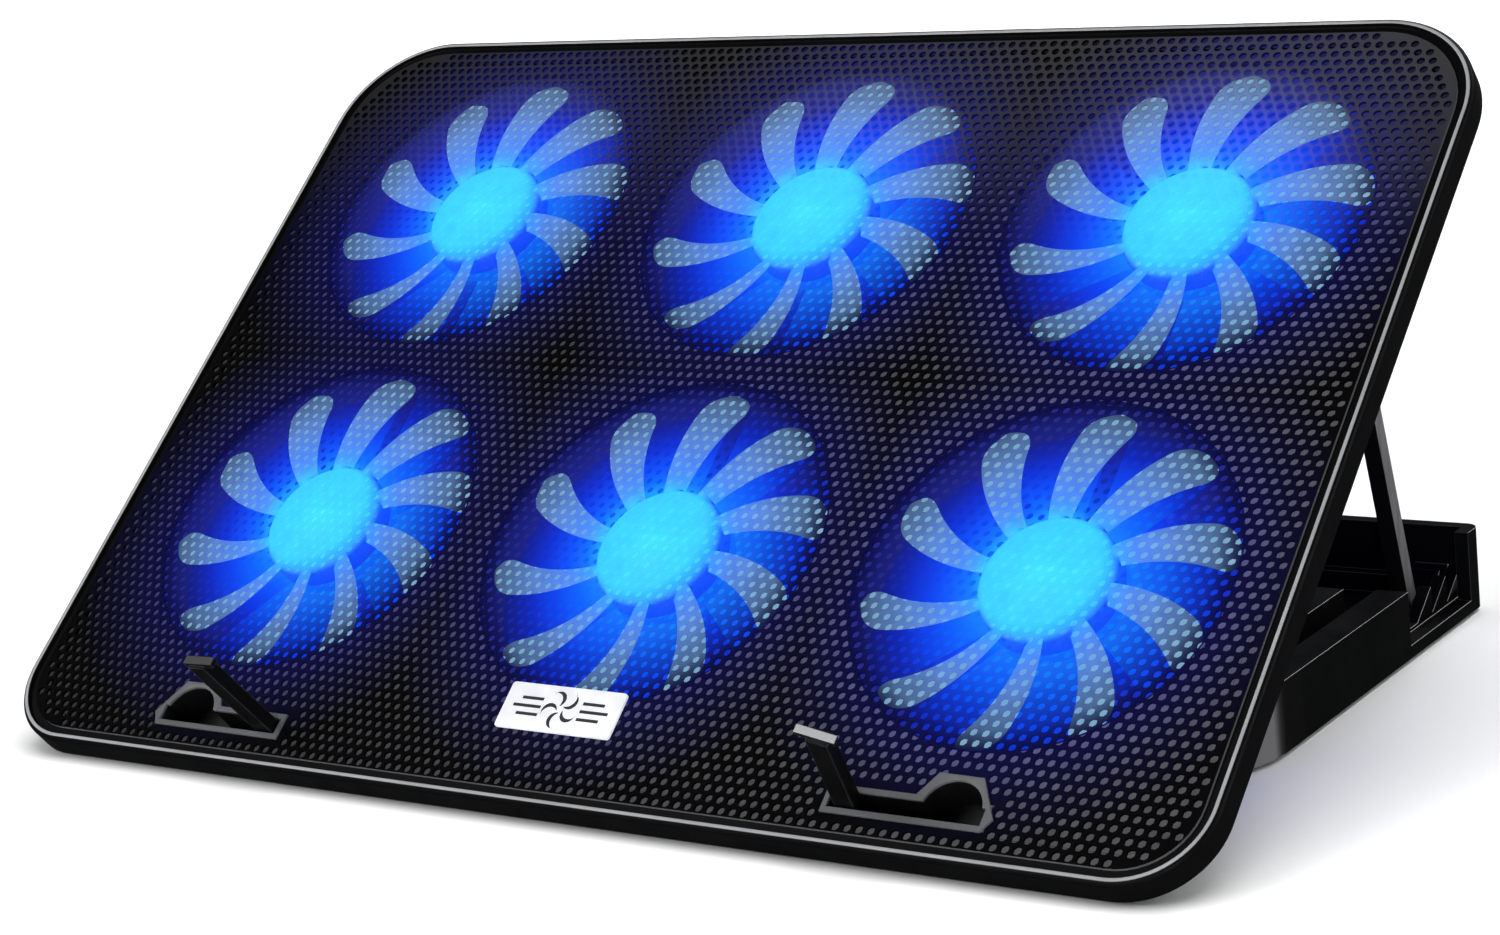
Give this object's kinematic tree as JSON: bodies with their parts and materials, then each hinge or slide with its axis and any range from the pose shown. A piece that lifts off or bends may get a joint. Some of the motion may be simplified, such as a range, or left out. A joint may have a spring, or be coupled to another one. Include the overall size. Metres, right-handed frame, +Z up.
{
  "type": "laptop cooling pad",
  "caption": "Tilting laptop cooling pad: perforated top over lit fans, flip-up laptop stops, and a folding prop that stands in notches of a low base.",
  "frame": {"origin": "on the desk, under the centre of the object's bounding box with the panel tilted in its first notch", "axes": "+X along the width, to the user's right; +Y from the user towards the back; +Z up"},
  "size_m": [0.383, 0.2462, 0.1724],
  "materials": {
    "shell_black": "satin black moulded rim",
    "mesh_black": "satin black perforated steel",
    "tray_black": "fine matt texture",
    "screen_mesh": "fine woven dust screen",
    "fan_plastic": "smoked plastic lit from inside",
    "rotor_blue": "translucent pale blue, lit from the hub",
    "bronze": "sintered bronze",
    "copper": "enamelled winding",
    "led_blue": "clear blue lamp",
    "wire_skin": "flat ribbon cable",
    "screw_steel": "dull zinc",
    "pin_steel": "ground rod",
    "board_green": "solder mask",
    "port_steel": "plated sheet",
    "grip_black": "soft touch",
    "cup_grey": "satin grey moulding",
    "stop_black": "satin black moulding, worn on the head",
    "badge_silver": "plain satin plate",
    "prop_black": "semi-gloss black enamel",
    "rubber_black": "matt rubber",
    "base_black": "satin black moulding"
  },
  "bodies": {
    "base": {"base_shell": "base_black", "base_plate": "tray_black", "base_feet": "rubber_black", "base_screws": "screw_steel"},
    "panel": {"top_frame": "shell_black", "mesh_grille": "mesh_black", "fan_deck": "tray_black", "intake_screens": "screen_mesh", "bottom_tray": "tray_black", "fan_frames": "fan_plastic", "fan_bearings": "bronze", "fan_stators": "copper", "led_lamps": "led_blue", "fan_wires": "wire_skin", "fan_screws": "screw_steel", "control_board": "board_green", "usb_ports": "port_steel", "dial_pot": "screw_steel", "stop_cup_left": "cup_grey", "stop_cup_right": "cup_grey", "stop_pins": "pin_steel", "badge": "badge_silver", "panel_screws": "screw_steel", "hinge_pins": "pin_steel"},
    "prop": {"prop_frame": "prop_black", "prop_shaft": "pin_steel", "prop_feet": "rubber_black"},
    "stop_arm_left": {"stop_left": "stop_black"},
    "stop_arm_right": {"stop_right": "stop_black"},
    "dial": {"speed_dial": "grip_black"},
    "rotor_1": {"fan_rotor_1": "rotor_blue", "fan_shaft_1": "pin_steel"},
    "rotor_2": {"fan_rotor_2": "rotor_blue", "fan_shaft_2": "pin_steel"},
    "rotor_3": {"fan_rotor_3": "rotor_blue", "fan_shaft_3": "pin_steel"},
    "rotor_4": {"fan_rotor_4": "rotor_blue", "fan_shaft_4": "pin_steel"},
    "rotor_5": {"fan_rotor_5": "rotor_blue", "fan_shaft_5": "pin_steel"},
    "rotor_6": {"fan_rotor_6": "rotor_blue", "fan_shaft_6": "pin_steel"}
  },
  "joints": [
    {"name": "panel_tilt", "type": "hinge", "parent": "base", "child": "panel", "pos_m": [0, -0.06188, 0.02113], "axis": [1, 0, 0], "range_deg": [-39, 0]},
    {"name": "prop_fold", "type": "hinge", "parent": "panel", "child": "prop", "pos_m": [0, 0.06728, 0.12573], "axis": [1, 0, 0], "range_deg": [-66.29, 0]},
    {"name": "stop_left_fold", "type": "hinge", "parent": "panel", "child": "stop_arm_left", "pos_m": [-0.0934, -0.09773, 0.00947], "axis": [0, 0.7771, 0.6293], "range_deg": [-86, 4]},
    {"name": "stop_right_fold", "type": "hinge", "parent": "panel", "child": "stop_arm_right", "pos_m": [0.0934, -0.09773, 0.00947], "axis": [0, 0.7771, 0.6293], "range_deg": [-13, 77]},
    {"name": "speed_dial_turn", "type": "hinge", "parent": "panel", "child": "dial", "pos_m": [0.059, 0.09315, 0.15941], "axis": [0, -0.6293, 0.7771], "range_deg": [0, 270]},
    {"name": "fan_1_spin", "type": "hinge", "parent": "panel", "child": "rotor_1", "pos_m": [-0.1165, -0.04215, 0.05255], "axis": [0, -0.6293, 0.7771], "continuous": true},
    {"name": "fan_2_spin", "type": "hinge", "parent": "panel", "child": "rotor_2", "pos_m": [0.0025, -0.04215, 0.05255], "axis": [0, -0.6293, 0.7771], "continuous": true},
    {"name": "fan_3_spin", "type": "hinge", "parent": "panel", "child": "rotor_3", "pos_m": [0.1215, -0.04215, 0.05255], "axis": [0, -0.6293, 0.7771], "continuous": true},
    {"name": "fan_4_spin", "type": "hinge", "parent": "panel", "child": "rotor_4", "pos_m": [-0.1165, 0.04644, 0.12429], "axis": [0, -0.6293, 0.7771], "continuous": true},
    {"name": "fan_5_spin", "type": "hinge", "parent": "panel", "child": "rotor_5", "pos_m": [0.0025, 0.04644, 0.12429], "axis": [0, -0.6293, 0.7771], "continuous": true},
    {"name": "fan_6_spin", "type": "hinge", "parent": "panel", "child": "rotor_6", "pos_m": [0.1215, 0.04644, 0.12429], "axis": [0, -0.6293, 0.7771], "continuous": true}
  ],
  "couplings": [
    {"joint": "prop_fold", "follows": "panel_tilt", "ratio": 1.6994}
  ]
}
